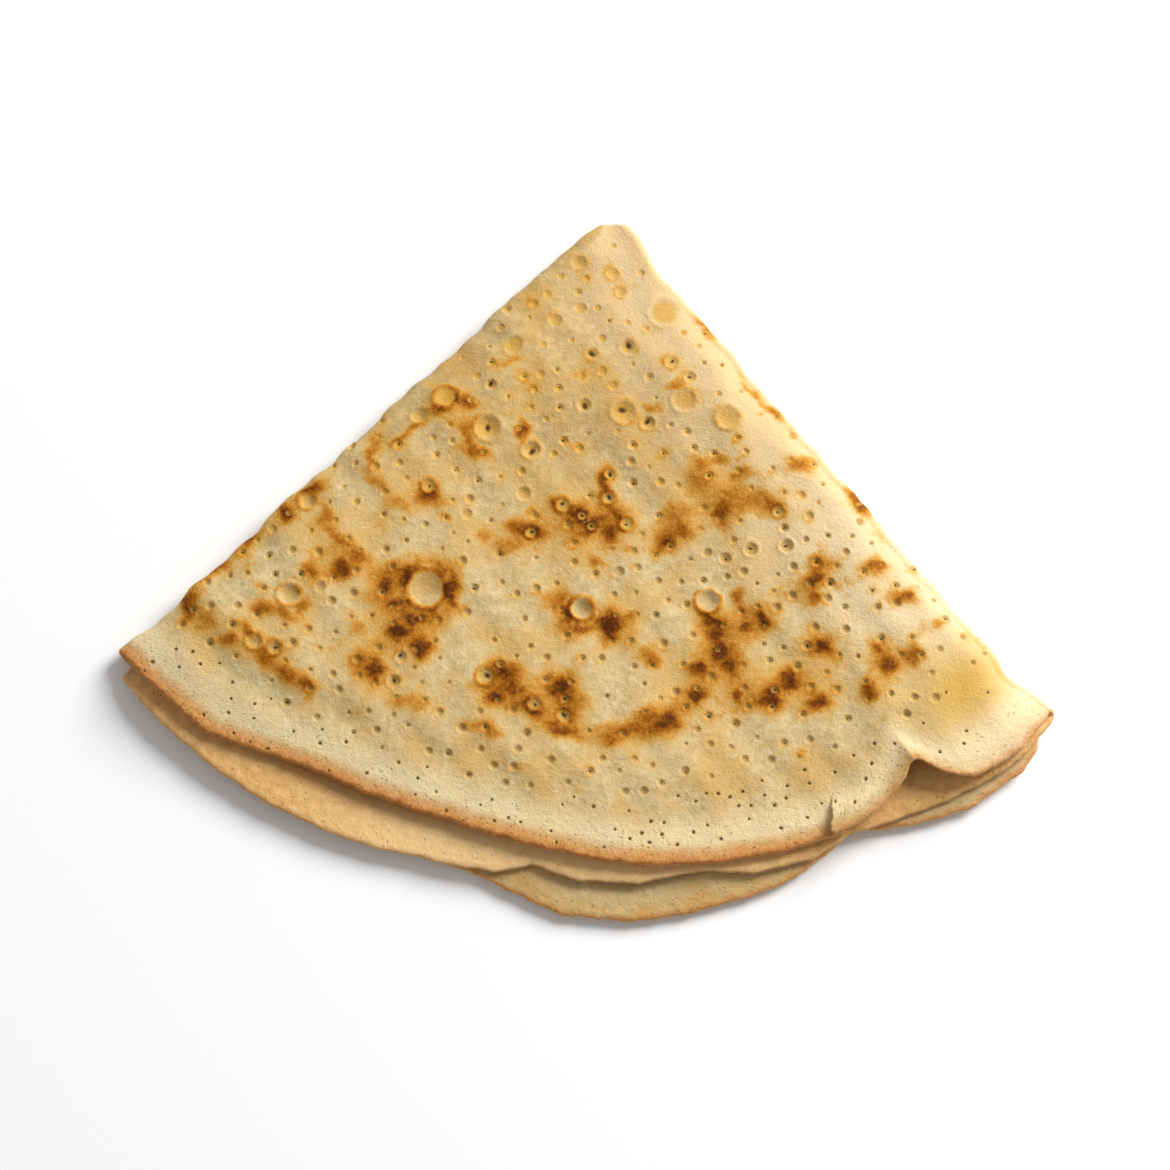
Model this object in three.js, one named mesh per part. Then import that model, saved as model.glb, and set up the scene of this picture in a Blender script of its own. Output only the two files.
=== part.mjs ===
// A plain crepe, folded in half and then in half again, lying flat.
//
// Millimetres, +Z up. The folded point faces +Y and the open round edge faces -Y.
// The origin is on the resting plane, under the middle of the crepe's bounding box.
//
// Folding a round sheet twice turns every circle around the folded point into one
// closed loop through four layers. Seen from the round edge, it runs along the top
// layer to the right, down a fold, back along the second layer, down the inner fold
// on the left, along the third layer, down a fold on the right, back along the bottom
// layer and up the outer fold on the left. The solid is a stack of such loops, from
// the point out to the rim: an outer skin, and an inner skin one sheet further in.
import * as THREE from 'three'

const { degToRad, lerp, radToDeg, smoothstep } = THREE.MathUtils

// Overall sizes
const crepeRadius = 138 // folded point to rim, before the rim's own waviness
const openingAngle = 85.4 // degrees between the two folded sides
const sheetThickness = 1.5
const rimThickness = 0.9 // the batter runs out thin
const rimBand = 14 // width over which the sheet thins to the rim
const layerGap = 0.4 // air left between layers that lie on each other

// The folded point
const solidTip = 12 // the layers are pressed into one up to here
const tipBluntness = 2.3 // how far the point is cut back from a sharp corner
const tipLift = 2.2 // height of the very point

// How the layers stand off each other
const topPuff = { height: 1.4, width: 9 } // the top layer, beside both folded sides
const middlePuff = { height: 0.7, width: 12 } // between the second and third layers
const lowerPuff = { height: 0.4, width: 9 } // between the third and bottom layers
const ruffle = { height: 4.2, angle: 31, halfAngle: 8, reach: 34 } // in the top layer's rim
const droop = { height: 1.1, angle: 8, halfAngle: 24, reach: 30 } // third layer, below the second
const rimCurl = { height: 0.8, width: 8 } // the top layer's dry edge turns up
const swell = { height: 0.4, length: 46 } // slow rise and fall of the whole top

// Rim outlines, left to right: [degrees off the middle line, millimetres past crepeRadius]
const topRim = [
  [-43, -4], [-33, -3.4], [-24, -7.8], [-11, -7.6], [0, -4], [8, -1.6], [20, -0.6],
  [27, -2.2], [31, -4.6], [35, 0.6], [40, 0.6], [43, -2]
]
const secondRim = [
  [-43, -1], [-36, 0.8], [-25, 1.8], [-12, 0.6], [-3, -1.6], [2, 1], [11, -0.4], [17, 2.1],
  [25, -0.6], [34, 1.6], [39, 2], [43, -0.5]
]
const thirdRim = [
  [-43, -1], [-30, -1], [-9, 0.7], [-3, 5], [3, 7.9], [8, 8.2], [16, 5.3], [20, 2.8],
  [25, -0.4], [30, 3], [35, 5], [39, 4.3], [43, 0.4]
]
const bottomRim = [
  [-43, -4], [-20, -2.5], [-5, 1], [5, 5], [18, 2], [25, -2.4], [34, 3], [39, 2.6], [43, 0.4]
]

// How finely the faces follow the shape
const cellsAcross = 20 // along each layer, from fold to fold
const cellsRightFold = 4
const cellsLeftFold = 6
const foldCrowding = 0.6 // how much closer the cells lie beside the folds, from 0 to 1
const ringCount = 14 // from the solid tip to the rim
const rimCrowding = 1.5 // above 1, the rings lie closer towards the rim
const tipRings = [0.8, 0.55, 0.3, 0.12] // shares of solidTip, towards the point

const halfOpening = degToRad(openingAngle / 2)

// Each layer turns its outer skin up (1) or down (-1), and ends on the right in a fold
// that joins two layers.
const layers = [
  { name: 'top', rim: topRim, facing: 1, rightFold: ['top', 'second'] },
  { name: 'second', rim: secondRim, facing: -1, rightFold: ['top', 'second'] },
  { name: 'third', rim: thirdRim, facing: 1, rightFold: ['third', 'bottom'] },
  { name: 'bottom', rim: bottomRim, facing: -1, rightFold: ['third', 'bottom'] }
]

// 1 at no distance, easing to 0 at `half` to either side.
function hump(distance, half) {
  return 1 - smoothstep(Math.abs(distance), 0, half)
}

// 0 on a fold, highest one width in from it, and flat again a few widths further in.
function puff({ height, width }, fromFold) {
  const reach = Math.max(fromFold, 0) / width
  return height * reach * Math.exp(1 - reach)
}

// The rim's distance from the folded point, eased from each outline point to the next.
function rimRadius(outline, angle) {
  const degrees = radToDeg(angle)
  const next = outline.findIndex(([at]) => at >= degrees)
  if (next === -1) return crepeRadius + outline.at(-1)[1]
  if (next === 0) return crepeRadius + outline[0][1]
  const [fromAngle, from] = outline[next - 1]
  const [toAngle, to] = outline[next]
  return crepeRadius + lerp(from, to, smoothstep(degrees, fromAngle, toAngle))
}

// The heights of the middle of the four layers at one spot, and the sheet's thickness.
function stack(radius, angle) {
  const toRight = radius * (halfOpening - angle)
  const toLeft = radius * (halfOpening + angle)
  const fromRim = rimRadius(topRim, angle) - radius
  const nearRim = (reach) => 1 - smoothstep(fromRim, 0, reach)
  const settled = smoothstep(radius, solidTip, 4 * solidTip)
  const thickness = lerp(sheetThickness, rimThickness, nearRim(rimBand))

  const inside = Math.min(toLeft, toRight, swell.length) / swell.length
  const turn = radius / swell.length
  const swelling = swell.height * inside *
    (1 + Math.sin(2 * turn + 3 * angle) * Math.cos(4 * angle - turn))
  const ruffling = ruffle.height * hump(radToDeg(angle) - ruffle.angle, ruffle.halfAngle) *
    nearRim(ruffle.reach) ** 2
  const curling = rimCurl.height * nearRim(rimCurl.width) * hump(angle, halfOpening)
  const drooping = droop.height * hump(radToDeg(angle) - droop.angle, droop.halfAngle) *
    nearRim(droop.reach)

  const topGap = layerGap + settled *
    (puff(topPuff, toRight) + puff(topPuff, toLeft) + swelling + ruffling + curling)
  const middleGap = layerGap + settled *
    (puff(middlePuff, toRight) + puff(middlePuff, toLeft) + drooping)
  const lowerGap = layerGap + settled * (puff(lowerPuff, toRight) + puff(lowerPuff, toLeft))

  const bottom = thickness / 2
  const third = bottom + thickness + lowerGap
  const second = third + thickness + middleGap
  const top = second + thickness + topGap
  return { top, second, third, bottom, thickness }
}

// A spot in the middle of a layer: `across` runs from 0 at its left fold to 1 at its
// right one, and `share` from 0 at the edge of the solid tip to 1 at the rim. A fold is
// half a circle in the loop, so a layer stops short of the side by half the fold's height.
function onLayer(layer, across, share) {
  const angle = lerp(-halfOpening, halfOpening, across)
  const radius = lerp(solidTip, rimRadius(layer.rim, angle), share)
  const here = stack(radius, angle)
  const left = stack(radius, -halfOpening)
  const right = stack(radius, halfOpening)
  const [above, below] = layer.rightFold
  const leftStop = (left.top - left.bottom + left.thickness) / 2
  const rightStop = (right[above] - right[below] + right.thickness) / 2
  const side = radius * halfOpening
  return {
    radius,
    along: lerp(leftStop - side, side - rightStop, across),
    height: here[layer.name],
    thickness: here.thickness
  }
}

// The spots of a layer on the outer skin (1) or the inner skin (-1), left to right.
function layerRun(layer, share, skin) {
  const spots = []
  for (let cell = 0; cell <= cellsAcross; cell++) {
    const even = cell / cellsAcross
    const across = even - foldCrowding * Math.sin(2 * Math.PI * even) / (2 * Math.PI)
    const spot = onLayer(layer, across, share)
    spots.push({ ...spot, height: spot.height + skin * layer.facing * spot.thickness / 2 })
  }
  return spots
}

// The spots round a fold, without its two ends. `hand` is 1 on the right and -1 on the
// left, and `outward` is 1 where the outer skin is on the outside of the bend.
function foldRun(from, to, share, skin, hand, outward, cells) {
  const start = onLayer(from, (1 + hand) / 2, share)
  const end = onLayer(to, (1 + hand) / 2, share)
  const bend = (start.height - end.height) / 2
  const reach = Math.abs(bend) + skin * outward * start.thickness / 2
  const spots = []
  for (let cell = 1; cell < cells; cell++) {
    const turn = cell / cells
    spots.push({
      radius: lerp(start.radius, end.radius, turn),
      along: lerp(start.along, end.along, turn) + hand * reach * Math.sin(Math.PI * turn),
      height: (start.height + end.height) / 2 +
        Math.sign(bend) * reach * Math.cos(Math.PI * turn)
    })
  }
  return spots
}

// One whole loop, as its eight runs: the four layers, each followed by a fold.
function loop(share, skin) {
  const [top, second, third, bottom] = layers
  return [
    layerRun(top, share, skin),
    foldRun(top, second, share, skin, 1, 1, cellsRightFold),
    layerRun(second, share, skin).reverse(),
    foldRun(second, third, share, skin, -1, -1, cellsLeftFold),
    layerRun(third, share, skin),
    foldRun(third, bottom, share, skin, 1, 1, cellsRightFold),
    layerRun(bottom, share, skin).reverse(),
    foldRun(bottom, top, share, skin, -1, 1, cellsLeftFold)
  ]
}

const positions = []
const faces = []

// Puts spots in space and returns their numbers. The sheet's distances are wrapped round
// the folded point. Inside the solid tip the loops shrink and the crepe rounds off.
function place(spots, shrink = 1) {
  return spots.map((spot) => {
    const radius = spot.radius * shrink
    const angle = spot.along / spot.radius
    const forward = Math.cbrt((radius * Math.cos(angle)) ** 3 + tipBluntness ** 3) - tipBluntness
    const full = Math.sqrt(1 - (1 - Math.min(radius / solidTip, 1)) ** 2)
    positions.push(radius * Math.sin(angle), -forward, lerp(tipLift, spot.height, full))
    return positions.length / 3 - 1
  })
}

// Faces between two rows of as many points. Seen from the outside, `near` is on the left
// of `far` when both run away from the viewer.
function band(near, far) {
  for (let i = 0; i + 1 < near.length; i++) {
    faces.push(near[i], far[i], near[i + 1], near[i + 1], far[i], far[i + 1])
  }
}

function closedBand(near, far) {
  band([...near, near[0]], [...far, far[0]])
}

// Faces over a small outline, which runs anticlockwise as seen from the outside.
function fan([hub, ...rest]) {
  for (let i = 0; i + 1 < rest.length; i++) faces.push(hub, rest[i], rest[i + 1])
}

// The two skins, from the solid tip to the rim, and the cut edge that joins them there.
const outer = []
const inner = []
for (let ring = 0; ring <= ringCount; ring++) {
  const share = 1 - (1 - ring / ringCount) ** rimCrowding
  outer.push(loop(share, 1).map((run) => place(run)))
  inner.push(loop(share, -1).map((run) => place(run)))
}
for (let ring = 0; ring < ringCount; ring++) {
  closedBand(outer[ring].flat(), outer[ring + 1].flat())
  closedBand(inner[ring + 1].flat(), inner[ring].flat())
}
closedBand(outer[ringCount].flat(), inner[ringCount].flat())

// The end of the slot between the second and third layers, at the solid tip.
const [topEdge, upperFold, secondEdge, innerFold, thirdEdge, lowerFold, bottomEdge, outerFold] =
  outer[0]
band(secondEdge.toReversed(), thirdEdge)
fan([secondEdge.at(-1), ...innerFold, thirdEdge[0]])

// The end of the hollow between the two skins, which wraps round the inner fold.
const [topRun, upperBend, secondRun, innerBend, thirdRun, lowerBend, bottomRun, outerBend] =
  inner[0]
band(
  [...bottomRun, ...outerBend, ...topRun],
  [...thirdRun.toReversed(), ...innerBend.toReversed(), ...secondRun.toReversed()]
)
fan([topRun.at(-1), secondRun[0], ...upperBend.toReversed()])
fan([thirdRun.at(-1), bottomRun[0], ...lowerBend.toReversed()])

// The solid tip: the same outline without the slot, shrinking to the point.
let rim = [
  ...topEdge, ...upperFold, secondEdge[0], thirdEdge.at(-1), ...lowerFold, ...bottomEdge,
  ...outerFold
]
const tipLoop = loop(0, 1)
const tipSpots = [
  ...tipLoop[0], ...tipLoop[1], tipLoop[2][0], tipLoop[4].at(-1), ...tipLoop[5], ...tipLoop[6],
  ...tipLoop[7]
]
for (const shrink of tipRings) {
  const smaller = place(tipSpots, shrink)
  closedBand(smaller, rim)
  rim = smaller
}
fan([...place([tipSpots[0]], 0), ...rim, rim[0]])

const geometry = new THREE.BufferGeometry()
geometry.setAttribute('position', new THREE.Float32BufferAttribute(positions, 3))
geometry.setIndex(faces)
geometry.computeVertexNormals()
geometry.computeBoundingBox()

const bakedBatter = new THREE.MeshStandardMaterial({
  color: new THREE.Color().setRGB(0.88, 0.76, 0.5, THREE.SRGBColorSpace),
  roughness: 0.6,
  metalness: 0
})

const crepe = new THREE.Mesh(geometry, bakedBatter)
crepe.name = 'crepe'
const middle = geometry.boundingBox.getCenter(new THREE.Vector3())
crepe.position.set(-middle.x, -middle.y, -geometry.boundingBox.min.z)

const foldedCrepe = new THREE.Group()
foldedCrepe.add(crepe)

export default foldedCrepe
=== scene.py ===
import math

import bmesh
import bpy
import numpy as np
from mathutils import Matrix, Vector


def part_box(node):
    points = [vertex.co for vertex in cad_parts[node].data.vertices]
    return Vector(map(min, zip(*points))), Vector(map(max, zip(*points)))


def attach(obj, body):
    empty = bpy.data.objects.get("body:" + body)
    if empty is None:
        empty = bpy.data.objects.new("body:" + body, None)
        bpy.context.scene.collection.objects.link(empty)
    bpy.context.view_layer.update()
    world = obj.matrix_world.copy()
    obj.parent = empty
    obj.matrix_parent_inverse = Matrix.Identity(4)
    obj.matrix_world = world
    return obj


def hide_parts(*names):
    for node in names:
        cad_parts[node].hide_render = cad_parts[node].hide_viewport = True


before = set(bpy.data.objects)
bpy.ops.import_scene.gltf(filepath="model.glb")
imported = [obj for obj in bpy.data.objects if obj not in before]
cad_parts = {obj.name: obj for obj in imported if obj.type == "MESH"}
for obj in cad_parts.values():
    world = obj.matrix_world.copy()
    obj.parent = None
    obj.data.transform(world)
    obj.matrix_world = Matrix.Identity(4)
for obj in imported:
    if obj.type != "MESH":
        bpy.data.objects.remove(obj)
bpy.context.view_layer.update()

# THE SHEET, FOLDED TWICE
# A crepe is one thin round sheet of batter, folded in half and in half again, so every circle
# round the folded point becomes one closed loop through four layers. Millimetres.
crepe_radius = 138.0
half_opening = math.radians(85.4 / 2)
sheet_thickness = 1.5
rim_thickness = 0.9
thin_rim_width = 14.0
layer_gap = 0.4

# The folded point is pressed solid, blunt, a little raised, and bulges to the right.
solid_tip = 12.0
pinched_tip = 6.0
tip_bluntness = 2.3
tip_lift = 2.2
nose_bulge = 1.8

# Rim outlines, left to right: degrees off the middle line, millimetres past crepe_radius.
top_rim = [
    (-43, -4), (-38, -3.7), (-33, -3.2), (-29, -5.7), (-24, -7.8), (-17, -7.8), (-11, -7.5),
    (-6, -6.1), (0, -4.2), (5, -2.3), (11, -1.2), (18, -0.6), (23, -0.7), (26, -1.2),
    (28, -3), (29.5, -5), (31, -8.2), (31.5, -7.2), (32.3, -4.6), (33.3, -2), (35, 0.9), (39, 1),
    (43, -1.5),
]
second_rim = [
    (-43, -1), (-39, 0.2), (-35, 0.8), (-28, 1.8), (-19, 1.8), (-12, 0.6), (-6, 0.4), (-3, -2),
    (1, 0.6), (6, 1), (11, -0.4), (15, 1.8), (20, 2), (24, -0.4), (28, 0.4), (35, 2), (39, 2.2),
    (43, -0.5),
]
third_rim = [
    (-43, -1), (-30, -1), (-10, 0.4), (-7, 1.6), (-4, 4), (0, 7.2), (6, 8.2), (13, 6.4),
    (18, 4.7), (20, 2.8), (24.5, -0.9), (28, 1.9), (32, 3.9), (34, 5), (36, 4.2), (39, 4.4),
    (41, 2.4), (43, -2),
]
bottom_rim = [
    (-43, -4), (-20, -2.5), (-5, 1), (5, 5), (18, 2), (25, -2.4), (34, 3), (39, 2.6), (43, -2),
]

# The rim of the top layer is torn at one place, and its right lip lies over its left lip. Further
# right it ruffles up off the second layer.
tear_angle = 23.4
tear_depth = 8.0
lip_rise = 2.2
ruffle_angle = 31.0
ruffle_rise = 2.6
crest_rise = 1.5

# How high the layers stand off each other: next to the folds, in the middle and at the rim.
top_puff = 1.4
middle_puff = 0.7
lower_puff = 0.4
belly_rise = 0.4
belly_width = 46.0
rim_curl = 0.9
third_droop = 1.1


def eased(value, low, high):
    """0 up to low, 1 from high on, and a smooth rise between them."""
    share = np.clip((value - low) / (high - low), 0, 1)
    return share * share * (3 - 2 * share)


def hump(distance, half):
    """1 at no distance, easing to 0 at half to either side."""
    return 1 - eased(np.abs(distance), 0, half)


def rim_radius(outline, angle):
    """The rim's distance from the folded point: its outline, rounded, with a slightly rough edge."""
    degrees = np.degrees(angle)
    at, past = np.array(outline, float).T
    rounded = sum(np.interp(degrees + step, at, past) for step in (-0.4, -0.2, 0, 0.2, 0.4)) / 5
    start = past[1]
    rough = (
        0.2 * np.sin(1.9 * degrees + start) * np.sin(0.7 * degrees + 2 * start)
        + 0.06 * np.sin(6.7 * degrees + 3 * start) + 0.04 * np.sin(13.3 * degrees)
    )
    return crepe_radius + rounded + rough


def puff(height, width, from_fold):
    """0 on a fold, highest one width in from it, and flat again a few widths further in."""
    reach = np.maximum(from_fold, 0) / width
    return height * reach * np.exp(1 - reach)


def beside_tear(radius, angle):
    """How far right of the tear a spot lies, how near the rim, and which lip it is on."""
    right_of = (angle - math.radians(tear_angle)) * radius
    right_of = right_of + 0.35 * np.sin(1.3 * radius) + 0.1 * np.sin(4.1 * radius)
    near_rim = 1 - eased(rim_radius(top_rim, angle) - radius, 1, tear_depth)
    return right_of, near_rim, eased(right_of, -0.2, 0.2)


def stack(radius, angle):
    """The middle heights of the four layers, top layer first, and the sheet's thickness."""
    to_right = radius * (half_opening - angle)
    to_left = radius * (half_opening + angle)
    degrees = np.degrees(angle)
    from_rim = rim_radius(top_rim, angle) - radius
    settled = eased(radius, solid_tip, 4 * solid_tip)
    thinned = 1 - eased(from_rim, 0, thin_rim_width)
    thickness = sheet_thickness + (rim_thickness - sheet_thickness) * thinned

    turn = radius / belly_width
    inside = np.minimum(np.minimum(to_left, to_right), belly_width) / belly_width
    swelling = belly_rise * inside * (1 + np.sin(2 * turn + 3 * angle) * np.cos(4 * angle - turn))
    off_ruffle = degrees - ruffle_angle
    ruffling = ruffle_rise * hump(off_ruffle, 8) * (1 - eased(from_rim, 0, 34)) ** 2
    crest = crest_rise * np.exp(-np.abs(off_ruffle) / 1.3) * (1 - eased(from_rim, 0, 8))
    ruffling = ruffling + crest
    curling = rim_curl * (1 - eased(from_rim, 0, 9)) * hump(angle, half_opening)
    drooping = third_droop * hump(degrees - 8, 24) * (1 - eased(from_rim, 0, 30))
    right_of, near_rim, right_lip = beside_tear(radius, angle)
    lapping = lip_rise * near_rim * right_lip * (1 - eased(right_of, 3, 13))
    top_puffs = puff(top_puff, 9, to_right) + puff(top_puff, 9, to_left)
    middle_puffs = puff(middle_puff, 12, to_right) + puff(middle_puff, 12, to_left)
    lower_puffs = puff(lower_puff, 9, to_right) + puff(lower_puff, 9, to_left)
    top_gap = layer_gap + lapping + settled * (top_puffs + swelling + ruffling + curling)
    middle_gap = layer_gap + settled * (middle_puffs + drooping)
    lower_gap = layer_gap + settled * lower_puffs

    bottom = thickness / 2
    third = bottom + thickness + lower_gap
    second = third + thickness + middle_gap
    top = second + thickness + top_gap
    return np.stack([top, second, third, bottom]), thickness


# Per layer: its rim, which way its outer skin faces, and the two layers of its right fold.
layers = [
    (top_rim, 1, (0, 1)),
    (second_rim, -1, (0, 1)),
    (third_rim, 1, (2, 3)),
    (bottom_rim, -1, (2, 3)),
]

# How far each layer's dry corners flare out past the fold, at its left and right end.
flares = [(1.2, 2.6), (-2.0, 2.6), (-2.0, 0.3), (1.2, 0.3)]


def fold_ends(radius, right_fold):
    """Where the flat part of a layer ends at its left and right fold, from the middle line."""
    left, left_thick = stack(radius, -half_opening + 0 * radius)
    right, right_thick = stack(radius, half_opening + 0 * radius)
    side = radius * half_opening
    upper, lower = right_fold
    pinched = np.minimum(radius / pinched_tip, 1)
    left_end = pinched * (left[0] - left[3] + left_thick) / 2 - side
    right_end = side - pinched * (right[upper] - right[lower] + right_thick) / 2
    right_end = right_end + nose_bulge * eased(radius, 0, 5) * (1 - eased(radius, 7, 17))
    uneven = eased(radius, 4, 20)
    left_wave = 0.28 * np.sin(radius / 1.3 + 1) * np.sin(radius / 7) + 0.3 * np.sin(radius / 5.1)
    right_wave = 0.25 * np.sin(radius / 1.7) * np.sin(radius / 9) + 0.22 * np.sin(radius / 6.3 + 2)
    return left_end + uneven * left_wave, right_end + uneven * right_wave


def on_layer(layer, across, radius_at, skin):
    """Radius, distance along the loop from the middle line, height and thickness on a layer."""
    outline, facing, right_fold = layers[layer]
    angle = half_opening * (2 * across - 1)
    rim = rim_radius(outline, angle)
    radius = radius_at(rim)
    heights, thickness = stack(radius, angle)
    left_end, right_end = fold_ends(radius, right_fold)
    along = left_end + (right_end - left_end) * across
    flare = 1 - eased(rim - radius, 0, 10)
    along = along + flare * np.where(across < 0.5, *flares[layer]) * (2 * across - 1) ** 5
    if layer == 0:
        right_of, near_rim, right_lip = beside_tear(radius, angle)
        to_left = 2.6 * right_lip * (1 - eased(right_of, 4, 20))
        to_right = 1.2 * (1 - right_lip) * (1 - eased(-right_of, 4, 20))
        along = along + near_rim * (to_right - to_left)
    return radius, along, heights[layer] + skin * facing * thickness / 2, thickness


def on_fold(upper, lower, turn, radius_at, skin, hand, outward):
    """The same for spots round a fold: turn runs from 0 at the upper layer to 1 at the lower."""
    end = 0 * turn + (1 + hand) / 2
    top_radius, top_along, top_height, thickness = on_layer(upper, end, radius_at, 0)
    low_radius, low_along, low_height, _ = on_layer(lower, end, radius_at, 0)
    bend = (top_height - low_height) / 2 + skin * outward * thickness / 2
    radius = top_radius + (low_radius - top_radius) * turn
    pinched = np.minimum(radius / pinched_tip, 1)
    along = top_along + (low_along - top_along) * turn + hand * pinched * bend * np.sin(np.pi * turn)
    height = (top_height + low_height) / 2 + bend * np.cos(np.pi * turn)
    return radius, along, height, thickness


# Round the tube, one unit per run: layer, fold, layer, fold. Up the tube: outer skin to 1,
# the rim's round edge to rim_end, and the inner skin back to the solid tip.
runs = 8
rim_end = 1.2
tube_top = 2.2


def tube_parts(round_at, up_at):
    """Run number, share of the run, share of the way to the rim, and share round the rim edge."""
    inward = (tube_top - up_at) / (tube_top - rim_end)
    share = np.where(up_at <= 1, up_at, np.where(up_at < rim_end, 1, inward))
    run = np.clip(np.floor(round_at), 0, runs - 1).astype(int)
    return run, round_at - run, share, np.clip((up_at - 1) / (rim_end - 1), 0, 1)


def folded(round_at, up_at):
    """Where the tube's spots lie on the folded crepe, in millimetres."""
    run, part, share, edge = tube_parts(round_at, up_at)
    skin = np.cos(np.pi * edge)
    spots = np.zeros((4, len(round_at)))
    for number in range(runs):
        chosen = run == number
        f, s, k = part[chosen], share[chosen], skin[chosen]
        start = np.where(up_at[chosen] <= 1, 0, solid_tip)

        def radius_at(rim, s=s, start=start):
            return start + (rim - start) * s

        if number in (0, 4):
            spot = on_layer(number // 2, f, radius_at, k)
        elif number in (2, 6):
            spot = on_layer(number // 2, 1 - f, radius_at, k)
        elif number in (1, 5):
            spot = on_fold(number // 2, number // 2 + 1, f, radius_at, k, 1, 1)
        elif number == 3:
            spot = on_fold(1, 2, f, radius_at, k, -1, -1)
        else:
            spot = on_fold(0, 3, 1 - f, radius_at, k, -1, 1)
        spots[:, chosen] = spot
    radius, along, height, thickness = spots
    radius = np.maximum(radius, 1e-6)
    angle = along / radius
    radius = radius + np.sin(np.pi * edge) * thickness / 2
    forward = np.cbrt((radius * np.cos(angle)) ** 3 + tip_bluntness**3) - tip_bluntness
    full = np.sqrt(1 - (1 - np.clip(radius / solid_tip, 0, 1)) ** 2)
    return np.stack(
        [radius * np.sin(angle), -forward, tip_lift + (height - tip_lift) * full], axis=1
    )


def unrolled(round_at, up_at):
    """Where the same spots lie on the sheet laid flat, and how far they are from its rim."""
    run, part, share, edge = tube_parts(round_at, up_at)
    flat = np.zeros((3, len(round_at)))
    for number in range(runs):
        chosen = run == number
        f, s = part[chosen], share[chosen]
        start = np.where(up_at[chosen] <= 1, 0, solid_tip)
        layer = min(number // 2, 3)
        across = (f, 1 + 0 * f, 1 - f, 0 * f, f, 1 + 0 * f, 1 - f, 0 * f)[number]
        rim = rim_radius(layers[layer][0], half_opening * (2 * across - 1))
        radius = np.maximum(start + (rim - start) * s, 1e-6)
        left_end, upper_right = fold_ends(radius, (0, 1))
        lower_right = fold_ends(radius, (2, 3))[1]
        left = stack(radius, -half_opening + 0 * f)[0]
        right = stack(radius, half_opening + 0 * f)[0]
        upper_bend = np.pi * (right[0] - right[1]) / 2
        lower_bend = np.pi * (right[2] - right[3]) / 2
        outer_bend = np.pi * (left[0] - left[3]) / 2
        second_start = upper_right + upper_bend
        bottom_start = left_end - outer_bend
        third_end = bottom_start - (lower_right - left_end) - lower_bend
        upper_width = upper_right - left_end
        lower_width = lower_right - left_end
        if number == 0:
            along = left_end + upper_width * f
        elif number == 1:
            along = upper_right + upper_bend * f
        elif number == 2:
            along = second_start + upper_width * f
        elif number == 3:
            hidden_start = second_start + upper_width
            hidden_end = third_end - lower_width
            along = hidden_start + (hidden_end + 2 * np.pi * radius - hidden_start) * f
        elif number == 4:
            along = third_end - lower_width * (1 - f)
        elif number == 5:
            along = third_end + lower_bend * f
        elif number == 6:
            along = bottom_start - lower_width * (1 - f)
        else:
            along = left_end - outer_bend * (1 - f)
        bearing = along / radius
        flat[:, chosen] = radius * np.sin(bearing), -radius * np.cos(bearing), rim - radius
    return np.stack([flat[0], flat[1], -3 * edge], axis=1), flat[2]


# BURST BUBBLES AND TOASTED SPOTS
# Bubbles burst in the baking batter and leave round dishes, often with a pinhole. Where the
# sheet touched the pan it is raised and toasted. Places are millimetres from the folded point.

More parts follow.
